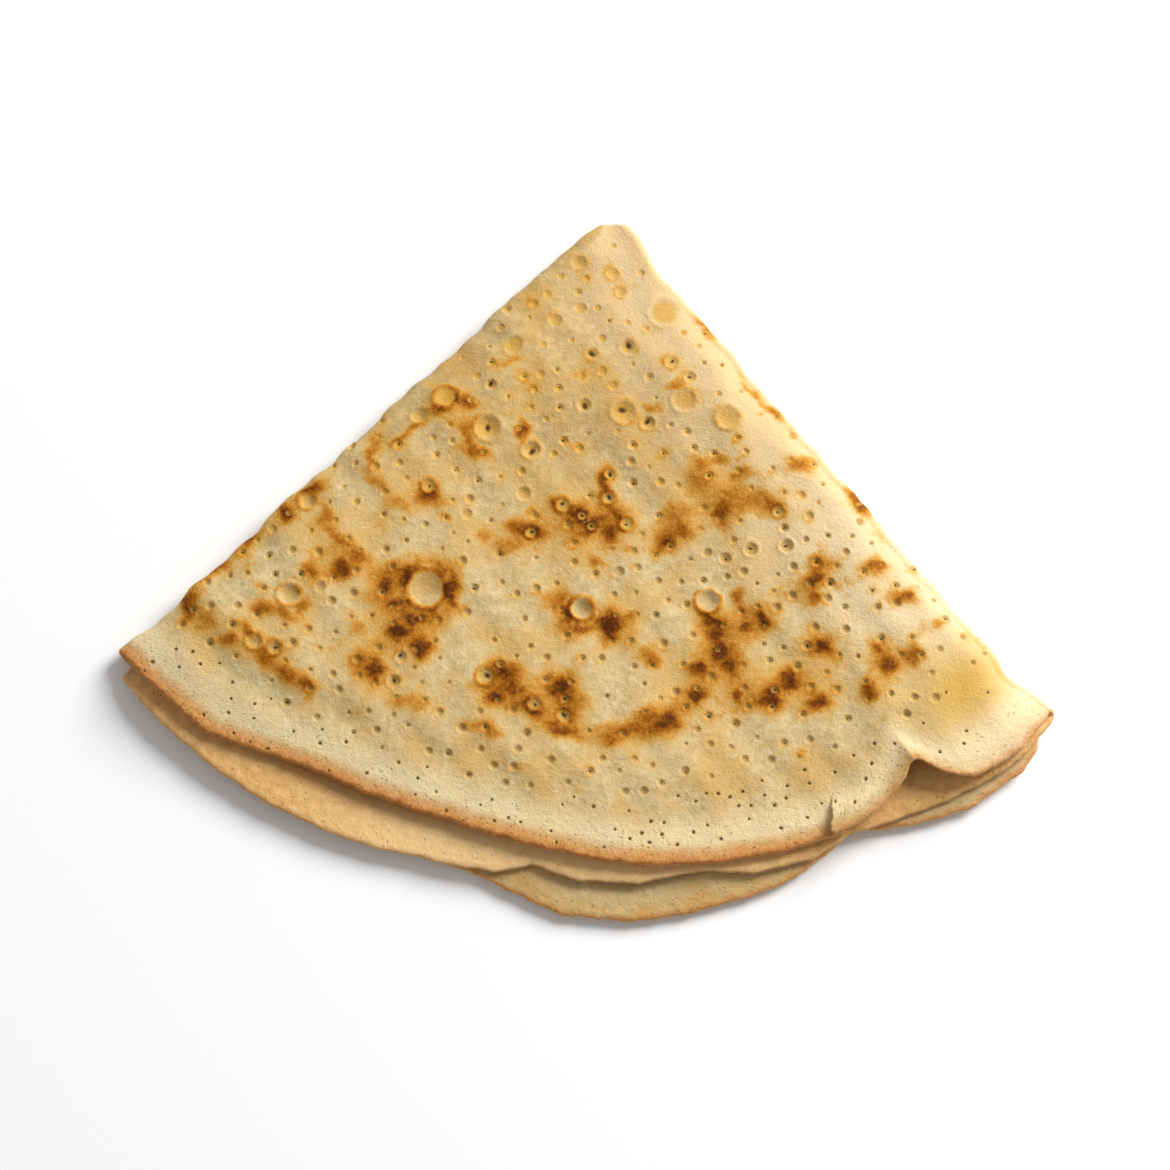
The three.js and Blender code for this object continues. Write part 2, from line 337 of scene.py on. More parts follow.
# Across, along, radius, depth, pinhole as a share of the radius, and how brown the ring is.
large_bubbles = [
    (-31, -83, 3.7, 0.8, 0, 0.5), (0, -85, 2.2, 0.7, 0, 0.6), (-12, -53, 1.9, 0.7, 0.34, 0.5),
    (-21, -49, 2.6, 0.7, 0.24, 0.3), (-32, -62, 1.5, 0.4, 0.16, 0.5), (-30, -43, 2.3, 0.5, 0, 0.5),
    (-35, -47, 1.8, 0.5, 0, 0.3), (-21, -40, 1.3, 0.5, 0.42, 0.1), (-11, -70, 1.2, 0.4, 0.25, 0.5),
    (-5, -12, 1.6, 0.5, 0, 0.25), (2, -14, 1.3, 0.4, 0, 0.25), (4, -18, 1.2, 0.4, 0, 0.25),
    (13, -22, 3.1, 0.3, 0, 0.3), (6, -30, 1.7, 0.6, 0.38, 0.3), (-1, -32, 1.4, 0.5, 0.48, 0.1),
    (-2, -43, 1.5, 0.6, 0.42, 0.3), (6, -44, 2.4, 0.6, 0.28, 0.6), (11, -46, 1.5, 0.5, 0.38, 0.2),
    (27, -44, 2.4, 0.5, 0, 0.25), (18, -41, 2.4, 0.3, 0, 0.3), (15, -33, 1.4, 0.5, 0.25, 0.2),
    (19, -36, 1.3, 0.5, 0.25, 0.2), (-17, -31, 2.1, 0.4, 0, 0.3), (-9, -25, 1.5, 0.5, 0, 0.3),
    (-4, -22, 1.3, 0.4, 0, 0.25), (25, -82, 2.3, 0.7, 0, 0.5), (-18, -100, 1.8, 0.5, 0.3, 0.4),
    (-8, -105, 1.5, 0.5, 0.2, 0.4), (-2, -107, 1.5, 0.5, 0.3, 0.4), (-35, -97, 1.2, 0.4, 0.3, 0.2),
    (-36, -102, 1.4, 0.4, 0.3, 0.1), (-58, -86, 2.2, 0.45, 0, 0.25), (-64, -96, 1.6, 0.45, 0, 0.3),
    (-60, -97, 1.4, 0.45, 0.25, 0.4), (-56, -66, 1.8, 0.5, 0, 0.4), (-52, -84, 1.2, 0.35, 0, 0.2),
    (45, -90, 1.1, 0.4, 0.3, 0), (49, -77, 1.1, 0.5, 0.35, 0), (40, -70, 1.5, 0.4, 0.2, 0),
    (33, -71, 1.5, 0.4, 0.2, 0), (28, -73, 1.3, 0.4, 0.2, 0), (38, -63, 1.2, 0.4, 0.2, 0.5),
    (-13, -62, 1.5, 0.4, 0, 0), (-1, -66, 1.0, 0.4, 0.3, 0.6), (1, -68, 1.0, 0.4, 0.3, 0.6),
    (-5, -64, 1.5, 0.4, 0.25, 0.5), (4, -57, 1.2, 0.4, 0.4, 0.4), (4, -62, 1.3, 0.4, 0.35, 0.5),
    (8, -67, 1.4, 0.4, 0.2, 0.4), (-24, -67, 1.2, 0.4, 0, 0.1), (7, -77, 1.2, 0.4, 0, 0),
]

# Across, along, half length, half width, how far it is turned in degrees, and how dark.
middle_spots = [
    (-2, -66, 2.0, 1.4, 60, 0.8), (1, -67, 3.2, 1.0, 10, 0.75), (5, -69, 1.6, 2.2, 0, 0.85),
    (6, -65, 1.4, 1.2, 0, 0.7), (3, -59, 1.1, 2.4, 0, 0.65), (0, -69, 1.2, 1.4, 0, 0.65),
    (2, -75, 1.8, 0.8, -35, 0.4), (-13, -69, 2.6, 1.5, 0, 0.6), (-10, -70, 1.5, 1.1, 0, 0.7),
    (-15, -73, 3, 1.4, 10, 0.35), (-20, -71, 1.3, 1.4, 0, 0.35), (-6, -64, 2.0, 1.6, 0, 0.45),
    (-14, -49, 1.1, 2.3, 10, 0.7), (-25, -51, 1.0, 3.2, 15, 0.5), (-23, -54, 2.6, 1.2, -20, 0.55),
    (-32, -64, 2.4, 1.8, -20, 0.6), (-26, -44, 2.4, 1.0, -15, 0.5), (-31, -46, 1.6, 0.9, -20, 0.45),
    (-37, -51, 3.6, 0.8, 40, 0.4), (-44, -56, 1.1, 3.2, 0, 0.45), (-42, -62, 3.2, 1.0, -35, 0.35),
    (-38, -66, 2.6, 1.2, -20, 0.3), (-17, -35, 2.6, 0.8, 30, 0.3), (18, -64, 2.6, 2.6, 0, 0.3),
]
crater_spots = [
    (-35, -80, 2.8, 1.2, 50, 0.85), (-39, -83, 1.9, 1.5, 40, 0.9), (-37, -86, 1.8, 1.1, -10, 0.8),
    (-26, -83, 1.3, 3.0, 0, 0.9), (-28, -79, 1.2, 2.0, 30, 0.5), (-33, -89, 2.4, 1.2, -15, 0.85),
    (-36, -92, 1.8, 1.4, 25, 0.95), (-31, -95, 1.8, 2.0, 0, 1.0), (-40, -100, 1.6, 2.1, 0, 0.95),
    (-29, -88, 1.4, 1.0, 0, 0.3), (-33, -106, 4.4, 1.6, -5, 0.3), (-43, -99, 2.2, 3.0, 0, 0.35),
    (-3, -86, 1.1, 2.4, 15, 0.85), (0, -89, 2.4, 0.9, 15, 0.6), (6, -88, 2.0, 2.3, 0, 1.15),
    (-5, -84, 3.5, 2.5, 0, 0.3), (10, -86, 1.2, 1.0, 0, 0.4),
]
lower_spots = [
    (-14, -99, 2.6, 1.8, -25, 0.85), (-13, -102, 2.2, 1.6, 0, 0.7), (-16, -104, 2.0, 1.2, 0, 0.8),
    (-3, -101, 2.1, 1.8, -25, 1.1), (-8, -106, 3.0, 1.5, -25, 0.6), (-2, -110, 3.4, 1.1, -12, 0.8),
    (-1, -105, 3.0, 2.6, 0, 0.45), (-19, -110, 1.8, 1.2, 0, 0.3), (-16, -111, 1.8, 1.2, -20, 0.35),
    (7, -111, 1.6, 1.2, 0, 0.5), (11, -109, 3.0, 1.5, 10, 0.45), (18, -107, 2.6, 1.9, 45, 1.0),
    (15, -106, 2.4, 1.6, 0, 0.45), (14, -94, 2.4, 1.6, -20, 0.45), (-10, -118, 2.0, 1.0, 0, 0.2),
]
right_spots = [
    (26, -86, 2.4, 1.0, -35, 0.85), (27, -89, 1.6, 1.6, 0, 0.85), (28, -92, 1.8, 2.4, 15, 1.0),
    (30, -95, 1.7, 1.5, 0, 0.95), (24, -96, 1.5, 1.2, -15, 0.95), (24, -101, 1.5, 1.3, 0, 0.9),
    (32, -101, 0.9, 1.4, 0, 0.8), (36, -85, 1.4, 1.2, -30, 1.0), (33, -87, 1.4, 1.0, 0, 0.85),
    (31, -81, 1.2, 1.6, 0, 0.5), (48, -90, 2.0, 1.6, -20, 1.05), (42, -97, 2.2, 1.7, 20, 0.95),
    (38, -101, 2.0, 1.9, 0, 0.9), (48, -101, 1.8, 1.8, 0, 0.85), (61, -93, 1.4, 1.7, 30, 0.9),
    (59, -90, 1.1, 1.5, 30, 0.65), (58, -99, 1.8, 1.2, 20, 0.6), (46, -76, 1.2, 1.9, -30, 0.8),
    (46, -80, 1.2, 1.6, 20, 0.6), (47, -73, 1.8, 1.2, -20, 0.35), (58, -73, 1.7, 1.4, 0, 0.55),
    (64, -79, 1.7, 1.2, -10, 0.65), (66, -91, 1.2, 2.0, 15, 0.45), (71, -84, 1.0, 1.0, 0, 0.3),
    (42, -53, 2.6, 1.6, 0, 0.5), (54, -60, 0.9, 2.8, 38, 0.6), (45, -112, 1.4, 1.0, 0, 0.3),
    (16, -70, 2.2, 1.6, 30, 0.7), (19, -68, 1.8, 1.4, 0, 0.5), (22, -58, 2.6, 2.6, 0, 0.36),
    (22, -54, 1.6, 1.2, 0, 0.4), (31, -61, 4.6, 2.4, -15, 0.38), (27, -63, 1.6, 2.4, 0, 0.55),
    (36, -61, 2.6, 1.4, -30, 0.42), (30, -56, 2.2, 1.2, 30, 0.4), (16, -38, 2.0, 1.0, 20, 0.35),
    (12, -43, 2.2, 1.0, -20, 0.35), (26, -53, 1.4, 1.0, 0, 0.3),
    (33, -39, 5.5, 0.6, -47, 0.42), (21.3, -24, 2.2, 0.6, -45, 0.42),
]
left_spots = [
    (-78, -89, 1.4, 3.4, 0, 0.7), (-73, -81, 2.4, 1.2, 40, 0.6), (-67, -74, 1.8, 1.2, 40, 0.8),
    (-60, -69, 1.8, 1.4, 40, 0.75), (-55, -63, 1.8, 1.2, 30, 0.7), (-52, -69, 1.4, 2.4, 0, 0.45),
    (-49, -74, 3.2, 1.3, -40, 0.45), (-45, -77, 2.4, 1.6, -30, 0.45), (-48, -80, 2.0, 1.5, 30, 0.85),
    (-54, -81, 1.6, 1.2, 0, 0.6), (-63, -89, 1.8, 1.2, 20, 0.55), (-59, -90, 2.4, 0.8, -15, 0.5),
    (-55, -88, 1.0, 1.8, 0, 0.5), (-69, -96, 1.6, 1.2, -30, 0.55), (-62, -99, 1.8, 1.2, -30, 0.6),
    (-57, -102, 2.0, 1.2, -30, 0.55), (-53, -104, 1.8, 1.2, -20, 0.6), (-65, -94, 2.4, 0.8, -30, 0.5),
    (-39, -80, 3.0, 2.0, 30, 0.3), (-74, -92, 2.0, 2.4, 0, 0.35), (-44, -92, 1.6, 1.4, 0, 0.3),
]
toasted_spots = middle_spots + crater_spots + lower_spots + right_spots + left_spots

# Small pits are spread over the whole sheet, a few millimetres apart, but not on the dry rim.
pit_spacing = 3.3
pit_reach = 122.0
pit_tries = 5600
rim_tries = 700
rim_pit_band = 12.0
hidden_spots = 190
chance = np.random.default_rng(7)
large_places = np.array([bubble[:3] for bubble in large_bubbles])
pit_places = np.zeros((0, 2))
bubbles = list(large_bubbles)
for _ in range(pit_tries):
    reach, spread, size = chance.random(3)
    radius, angle = pit_reach * math.sqrt(reach), 2 * math.pi * spread
    spot = np.array([radius * math.sin(angle), -radius * math.cos(angle)])
    clear_of_large = np.hypot(*(large_places[:, :2] - spot).T) > large_places[:, 2] + 1.9
    clear_of_pits = np.hypot(*(pit_places - spot).T) > pit_spacing
    off_fold = abs(math.degrees(angle) % 90 - 45) > 3
    if radius > 7 and off_fold and clear_of_large.all() and clear_of_pits.all():
        pit_places = np.vstack([pit_places, spot])
        kind = chance.random()
        hole = 0.14 + 0.3 * (kind - 0.5) if kind > 0.5 else 0.0
        bubbles.append((*spot, 0.5 + 0.55 * size, 0.3 + 0.25 * size, hole, 0.15))

# The dry rim has only pinholes, scattered along it.
for _ in range(rim_tries):
    reach, spread, size = chance.random(3)
    radius, angle = pit_reach + rim_pit_band * reach, 2 * math.pi * spread
    spot = np.array([radius * math.sin(angle), -radius * math.cos(angle)])
    off_fold = abs(math.degrees(angle) % 90 - 45) > 5
    if off_fold and (np.hypot(*(pit_places - spot).T) > 0.7 * pit_spacing).all():
        pit_places = np.vstack([pit_places, spot])
        bubbles.append((*spot, 0.35 + 0.2 * size, 0.2, 0.5, 0.0))

# On the other three layers the toasted spots stand at random, but not at the folded point.
for _ in range(hidden_spots):
    reach, spread, long, wide, turned, dark = chance.random(6)
    radius, angle = pit_reach * math.sqrt(reach), math.radians(50) + math.radians(260) * spread
    if radius > 1.5 * solid_tip:
        toasted_spots.append((
            radius * math.sin(angle), -radius * math.cos(angle), 1.2 + 2 * long, 1 + 1.4 * wide,
            180 * turned, 0.3 + 0.6 * dark,
        ))


halo_share = 0.34
halo_cap = 0.38


def toast_at(x, y):
    """How toasted the sheet is: 0 is pale, 1 is dark brown. Each spot has a core and a halo."""
    bent_x = x + 0.45 * np.sin(1.3 * y + 0.6 * x) + 0.14 * np.sin(3.1 * y - 1.3 * x)
    bent_y = y + 0.4 * np.sin(1.1 * x - 0.5 * y) + 0.14 * np.sin(2.9 * x + 1.7 * y)
    core = np.zeros(len(x))
    halo = np.zeros(len(x))
    for across, down, long, wide, turned, dark in toasted_spots:
        near = np.flatnonzero(np.abs(x - across) + np.abs(y - down) < 4 * (long + wide) + 6)
        cosine, sine = math.cos(math.radians(turned)), math.sin(math.radians(turned))
        out_x, out_y = bent_x[near] - across, bent_y[near] - down
        away = np.hypot((out_x * cosine + out_y * sine) / long, (out_y * cosine - out_x * sine) / wide)
        core[near] = np.maximum(core[near], dark * np.exp(-((away / 1.04) ** 2.6)))
        spread = (long + wide) / 2
        halo[near] += halo_share * dark * np.exp(-((away * spread / (2.2 + spread)) ** 2))
    return core + np.minimum(halo, halo_cap) * (1 - np.minimum(core, 1))


def bubble_at(x, y):
    """The nearest bubble's offset in radii, its own row, and the gap to its edge."""
    gap = np.full(len(x), 99.0)
    number = np.zeros(len(x), int)
    for index, (across, down, radius, *_) in enumerate(bubbles):
        near = np.flatnonzero((np.abs(x - across) < radius + 4) & (np.abs(y - down) < radius + 4))
        edge_gap = np.hypot(x[near] - across, y[near] - down) - radius
        closer = edge_gap < gap[near]
        gap[near[closer]] = edge_gap[closer]
        number[near[closer]] = index
    row = np.array(bubbles)[number]
    offset = np.stack([x - row[:, 0], y - row[:, 1]], axis=1) / row[:, 2:3]
    return offset, row, gap


# THE CREPE'S MESH
# The tube is spun from one upright line, cut finer where the sheet shows or has detail, and
# every vertex is then moved to its place on the folded crepe.
columns_per_run = 12
rows = 22
halvings = 6

# The longest edges left in each zone, in millimetres.
hidden_edge = 5.0
underside_edge = 2.2
fold_edge = 1.3
shown_edge = 1.1
rim_edge = 0.7
detail_edge = 0.58
ruffle_edge = 0.5
tear_edge = 0.3
shown_strip = 14.0


def tube_places(bm):
    """How far round and how far up the tube each vertex is."""
    co = np.array([v.co for v in bm.verts])
    round_at = np.mod(np.arctan2(co[:, 1], co[:, 0]) / (2 * math.pi) * runs, runs)
    return np.where(round_at > runs - 1e-5, 0, round_at), co[:, 2].copy()


bm = bmesh.new()
seam = [bm.verts.new((1, 0, tube_top * row / rows)) for row in range(rows + 1)]
line = [bm.edges.new(pair) for pair in zip(seam, seam[1:])]
bmesh.ops.spin(
    bm, geom=seam + line, axis=(0, 0, 1), cent=(0, 0, 0), angle=2 * math.pi,
    steps=columns_per_run * runs, use_merge=True,
)

for _ in range(halvings):
    round_at, up_at = tube_places(bm)
    place = folded(round_at, up_at)
    flat, from_rim = unrolled(round_at, up_at)
    bm.verts.index_update()
    ends = np.array([[v.index for v in edge.verts] for edge in bm.edges])
    length = np.linalg.norm(place[ends[:, 0]] - place[ends[:, 1]], axis=1)
    gap = bubble_at(flat[:, 0], flat[:, 1])[2][ends].min(1)
    toast = toast_at(flat[:, 0], flat[:, 1])[ends].max(1)
    first, last = round_at[ends].min(1), round_at[ends].max(1)
    near_rim = from_rim[ends].min(1)
    outer = up_at[ends].mean(1) < 1
    edge_band = (up_at[ends].mean(1) >= 1) & (up_at[ends].mean(1) < rim_end)
    on_top = ((last <= 1.5) | (first >= 7.3)) & (outer | edge_band)
    on_fold_side = ((first > 1) & (last <= 2)) | ((first > 5) & (last <= 6)) | (first >= 7)
    underside = (first >= 5) & (last <= 7) & outer
    second_shows = (first >= 2) & (last <= 3) & ~outer & (near_rim < shown_strip)
    third_shows = (first >= 4) & (last <= 5) & outer & (near_rim < shown_strip)
    off_ruffle = half_opening * (2 * round_at - 1) - math.radians(ruffle_angle)
    at_ruffle = (np.abs(off_ruffle) < math.radians(2.5))[ends].all(1) & (near_rim < 10)
    angle = half_opening * (2 * np.where(round_at <= 1, round_at, 0) - 1)
    tear_gap = np.abs((angle - math.radians(tear_angle)) * crepe_radius)[ends].mean(1)
    at_tear = (last <= 1) & (tear_gap < 1.5) & (near_rim < tear_depth + 1)
    limit = np.full(len(ends), hidden_edge)
    limit[underside] = underside_edge
    limit[on_fold_side & outer] = fold_edge
    limit[(near_rim < 3) | edge_band | third_shows | second_shows | on_top] = shown_edge
    limit[on_top & ((gap < 0.9) | (toast > 0.6))] = detail_edge
    limit[on_top & (near_rim < 2)] = rim_edge
    limit[on_top & at_ruffle] = ruffle_edge
    limit[at_tear] = tear_edge
    cut = [edge for edge, long in zip(bm.edges, length > limit) if long]
    bmesh.ops.subdivide_edges(bm, edges=cut, cuts=1, use_grid_fill=True)

round_at, up_at = tube_places(bm)
place = folded(round_at, up_at)

# The folded point lies a little left of the middle, as far back as the frame's own solid.
tip_across = -0.97
back_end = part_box("crepe")[1][1] * 1000
shift = np.array([tip_across, back_end - place[:, 1].max(), 0])
round_layer = bm.verts.layers.float.new("round_at")
up_layer = bm.verts.layers.float.new("up_at")
for vertex, spot, round_value, up_value in zip(bm.verts, (place + shift) / 1000, round_at, up_at):
    vertex.co = spot
    vertex[round_layer] = round_value
    vertex[up_layer] = up_value
bmesh.ops.remove_doubles(bm, verts=bm.verts, dist=1e-6)
bmesh.ops.holes_fill(bm, edges=[edge for edge in bm.edges if edge.is_boundary], sides=0)
bmesh.ops.triangulate(bm, faces=bm.faces)
bmesh.ops.recalc_face_normals(bm, faces=bm.faces)
round_at = np.array([v[round_layer] for v in bm.verts])
up_at = np.array([v[up_layer] for v in bm.verts])
mesh = bpy.data.meshes.new("crepe_sheet")
bm.to_mesh(mesh)
bm.free()
mesh.shade_smooth()

# Along the skin's normals, dishes sink between low rings, toasted spots rise, and the sheet has
# waves of its own and a groove behind its dry rim. The face on the table stays flat.
ring_at = 1.12
ring_width = 0.16
toast_rise = 0.3
wave_rise = 1.5
groove_at = 12.0
groove_width = 3.5
count = len(mesh.vertices)
normal = np.zeros(3 * count)
mesh.vertex_normals.foreach_get("vector", normal)
normal = normal.reshape(-1, 3)
place = np.zeros(3 * count)
mesh.vertices.foreach_get("co", place)
place = place.reshape(-1, 3)
flat, from_rim = unrolled(round_at, up_at)
x, y = flat[:, 0], flat[:, 1]
offset, row, gap = bubble_at(x, y)
away = np.hypot(offset[:, 0], offset[:, 1])
toast = toast_at(x, y)
shallower_at_tip = 0.45 + 0.55 * eased(-y, 30, 60)
ring_height = (0.07 + 0.07 * eased(row[:, 2], 0.9, 1.5)) * np.minimum(row[:, 2], 2)
ring_shape = ring_height * np.exp(-(((away - ring_at) / ring_width) ** 2))
dish = -row[:, 3] * (1 - eased(away, 0.15, 1.0)) + ring_shape
waves = (
    0.16 * np.sin(0.21 * x + 0.8 * np.sin(0.13 * y)) * np.sin(0.24 * y + 1.1)
    + 0.09 * np.sin(0.55 * x + 0.31 * y + 1.3 * np.sin(0.22 * y))
    + 0.05 * np.sin(1.1 * y - 0.9 * x + 2 * np.sin(0.3 * x))
)
groove_depth = 0.5 + 0.4 * eased(-x, 10, 60)
groove = -groove_depth * np.exp(-(((from_rim - groove_at) / groove_width) ** 2))
faces_table = eased(round_at, 5.3, 5.6) * (1 - eased(round_at, 6.4, 6.7))
outer = (up_at < 1.0) * (1 - faces_table)
away_from_edge = eased(from_rim, 0, 4)
swell = wave_rise * waves * eased(from_rim, 2, 12) + groove
raised = toast_rise * away_from_edge * np.minimum(toast, 1)
at_tip = 1 - eased(np.hypot(x, y), 1.5, 7)
rise = outer * (1 - at_tip) * (away_from_edge * shallower_at_tip * dish + raised + swell)
place = place + normal * rise[:, None] / 1000
place[:, 2] = np.maximum(place[:, 2], 0)
mesh.vertices.foreach_set("co", place.ravel())

# A pinhole is a short slit, and each points its own way. Floors of large bubbles stay pale, the
# deep ones most of all, and the skin is browner in a patchy ring round them and golden near by.
burst_clean = np.where(row[:, 3] >= 0.6, 1, 0.45) * (row[:, 2] > 1.1)
slit_turn = 2.4 * (row[:, 0] + row[:, 1])
slit_x = offset[:, 0] - 0.15 * np.cos(slit_turn)
slit_y = offset[:, 1] - 0.15 * np.sin(1.7 * slit_turn)
slit_long = (slit_x * np.cos(slit_turn) + slit_y * np.sin(slit_turn)) / 1.3
slit_wide = (slit_y * np.cos(slit_turn) - slit_x * np.sin(slit_turn)) / 0.85
patchy = 0.62 + 0.38 * np.sin(1.3 * x + 0.7 * y) * np.sin(0.9 * x - 1.6 * y + 1)
brown_ring = 0.75 - 0.4 * eased(y, -70, -40)
toast = toast + brown_ring * row[:, 5] * np.exp(-(((away - 1.1) / 0.4) ** 2)) * (gap < 0.9) * patchy
golden_round = 0.5 + 0.5 * np.sin(0.23 * x + 1.7) * np.sin(0.31 * y + 0.12 * x)
golden_halo = (0.1 + 0.1 * eased(y, -70, -40)) * np.exp(-((gap / 1.7) ** 2))
toast = toast + golden_halo * eased(from_rim, 12, 18) * eased(golden_round, 0.35, 0.8)

# The rim is browner left of the tear. Beside the right fold and in the middle of the second layer
# the sheet is paler as painted light where it faces the lamp; at the right of the third layer it is drier
# and paler, and it is olive near the right corner.
top_angle = np.degrees(half_opening) * (2 * np.where(round_at <= 1, round_at, 0) - 1)
rim_heat = np.where(round_at <= 1, 1 - 0.6 * eased(top_angle, 17, 25), 0.3)
rim_heat = np.where(round_at >= 7, 0.9, rim_heat)
beside_right_fold = np.hypot(x, y) * (half_opening - np.radians(top_angle))
across_second = 3 - round_at
across_third = round_at - 4
# Paleness: painted light beside the right fold and in the middle of the second layer, where the sheet faces
# the lamp; at the right of the third layer, drier batter.
lit_second = eased(across_second, 0.18, 0.36) * (1 - eased(across_second, 0.6, 0.78))
dry_third = 0.7 * eased(across_third, 0.6, 0.8)
dry_and_lit_paleness = np.where(round_at <= 1, 1 - eased(beside_right_fold, 6, 34), (round_at < 2) * 1.0)
dry_and_lit_paleness = np.where((round_at >= 2) & (round_at <= 3), lit_second, dry_and_lit_paleness)
dry_and_lit_paleness = np.where((round_at >= 4) & (round_at <= 5), dry_third, dry_and_lit_paleness)
whiteness = np.where((round_at <= 1.5) | (round_at >= 7.3), 0.72, 0.2)
olive_x = x - 76
olive_y = y + 97
olive = np.exp(-(((olive_x + 0.7 * olive_y) / 16) ** 2) - ((olive_y - 0.7 * olive_x) / 11) ** 2)

# What the batter's finish reads: the place on the flat sheet, the nearest bubble, and marks.
notes = {
    "sheet_place": flat,
    "bubble_offset": np.stack([offset[:, 0], offset[:, 1], row[:, 4]], axis=1),
    "bubble_near": np.stack([(gap < 0.5) * (up_at < 1.0), row[:, 2], olive * (up_at < 1.0)], axis=1),
    "bake_marks": np.stack([toast, from_rim, (up_at - 1) / (rim_end - 1)], axis=1),
    "rim_marks": np.stack([rim_heat, whiteness, dry_and_lit_paleness], axis=1),
    "burst_marks": np.stack([burst_clean, slit_long, slit_wide], axis=1),
}
for name, values in notes.items():
    mesh.attributes.new(name, "FLOAT_VECTOR", "POINT").data.foreach_set("vector", values.ravel())
crepe = bpy.data.objects.new("crepe_sheet", mesh)
bpy.context.collection.objects.link(crepe)
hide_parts("crepe")
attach(crepe, "root")

# THE BAKED BATTER
# Pale cream batter, golden to dark brown where it touched the pan, dry and orange at the rim.
batter = bpy.data.materials.new("baked_batter")
batter.use_nodes = True
batter_tree = batter.node_tree
shader = batter_tree.nodes["Principled BSDF"]


def shade(red, green, blue):
    """A colour given as it looks on a screen, 0 to 255, as the linear colour nodes take."""
    parts = [part / 255 for part in (red, green, blue)]
    linear = [((part + 0.055) / 1.055) ** 2.4 if part > 0.04 else part / 12.92 for part in parts]
    return (*linear, 1)


def feed(value, socket):
    """Sets a socket, or joins it to another node's output."""
    if isinstance(value, bpy.types.NodeSocket):
        batter_tree.links.new(value, socket)
    else:
        socket.default_value = value


def note(name):
    """A mesh note's three values."""
    reader = batter_tree.nodes.new("ShaderNodeAttribute")
    reader.attribute_name = name
    split = batter_tree.nodes.new("ShaderNodeSeparateXYZ")
    feed(reader.outputs["Vector"], split.inputs[0])
    return reader.outputs["Vector"], split.outputs


def reckon(operation, *values, clamp=False):
    """One sum on one to three values."""
    sum_node = batter_tree.nodes.new("ShaderNodeMath")
    sum_node.operation = operation
    sum_node.use_clamp = clamp
    for value, socket in zip(values, sum_node.inputs):
        feed(value, socket)
    return sum_node.outputs[0]


def between(value, low, high, to_low=0.0, to_high=1.0):
    """A smooth change from to_low to to_high as the value goes from low to high."""
    ranged = batter_tree.nodes.new("ShaderNodeMapRange")
    ranged.interpolation_type = "SMOOTHSTEP"
    for setting, socket in zip((value, low, high, to_low, to_high), ranged.inputs):
        feed(setting, socket)
    return ranged.outputs[0]


def mixed(share, first, second, way="MIX"):
    """Two colours mixed."""
    mixer = batter_tree.nodes.new("ShaderNodeMix")
    mixer.data_type = "RGBA"
    mixer.blend_type = way
    feed(share, mixer.inputs[0])
    feed(first, mixer.inputs[6])
    feed(second, mixer.inputs[7])
    return mixer.outputs[2]


def cloud(per_mm, detail=2.0, roughness=0.5):
    """Soft noise over the flat sheet, 0 to 1."""
    noise = batter_tree.nodes.new("ShaderNodeTexNoise")
    feed(sheet, noise.inputs["Vector"])
    noise.inputs["Scale"].default_value = per_mm
    noise.inputs["Detail"].default_value = detail
    noise.inputs["Roughness"].default_value = roughness
    return noise.outputs["Fac"]


def length_of(along, aside):
    """How long a flat offset is."""
    return reckon("SQRT", reckon("ADD", reckon("MULTIPLY", along, along), reckon("MULTIPLY", aside, aside)))


def graded(value, *stops):
    """A colour ramp from (place, colour) stops."""
    ramp = batter_tree.nodes.new("ShaderNodeValToRGB")
    while len(ramp.color_ramp.elements) < len(stops):
        ramp.color_ramp.elements.new(0.5)
    for element, (at, colour) in zip(ramp.color_ramp.elements, stops):
        element.position = at
        element.color = colour
    feed(value, ramp.inputs[0])
    return ramp.outputs[0]


sheet, (_, sheet_down, _) = note("sheet_place")
_, (bubble_x, bubble_y, hole_share) = note("bubble_offset")
_, (near_bubble, bubble_radius, olive_share) = note("bubble_near")
_, (toast_mark, rim_distance, skin_turn) = note("bake_marks")
_, (rim_heat, whiteness, dry_and_lit_paleness) = note("rim_marks")
_, (clean_share, slit_long, slit_wide) = note("burst_marks")

# Dishes, in bubble radii from the middle: how much floor, how little toast, and the pinhole.
away = length_of(bubble_x, bubble_y)
hole_away = length_of(slit_long, slit_wide)
small_bubble = between(bubble_radius, 2.4, 1.4)
inside_bubble = reckon("GREATER_THAN", near_bubble, 0.98)
floor_share = reckon("MULTIPLY", inside_bubble, between(away, 1.02, 0.6))
cleaned = reckon("MULTIPLY", reckon("MULTIPLY", inside_bubble, clean_share), between(away, 1.12, 0.62))
toast_mark = reckon("MULTIPLY", toast_mark, reckon("SUBTRACT", 1.0, cleaned))
hole_outside = reckon("MULTIPLY", hole_share, 1.5)
hole_inside = reckon("MULTIPLY", hole_share, 0.3)
pinhole = reckon("MULTIPLY", inside_bubble, between(hole_away, hole_outside, hole_inside))
pinhole = reckon("MULTIPLY", pinhole, reckon("GREATER_THAN", hole_share, 0.01))

grain = cloud(2.2, 3.0, 0.6)
mottle = cloud(0.55, 3.0, 0.55)
haze = cloud(0.09, 3.0, 0.5)
fleck = cloud(1.1, 5.0, 0.68)

# Pale batter: cream in small patches, warmer in wide ones, paler with painted light on lit slopes and where
# dry, deeper near the point.
pale = graded(
    mottle, (0.3, shade(199, 175, 123)), (0.5, shade(214, 190, 140)), (0.72, shade(229, 208, 162)),
)
warmth = between(haze, 0.42, 0.66, 0, 0.7)
pale = mixed(warmth, pale, shade(217, 176, 102))
# Painted light: paler where the sheet faces the lamp, and drier batter at the right of the third layer.
pale = mixed(reckon("MULTIPLY", dry_and_lit_paleness, 0.85), pale, shade(236, 215, 174))
pale = mixed(between(sheet_down, -78.0, -42.0, 0, 0.9), pale, shade(241, 232, 215), "MULTIPLY")
pale = mixed(olive_share, pale, shade(214, 174, 86))

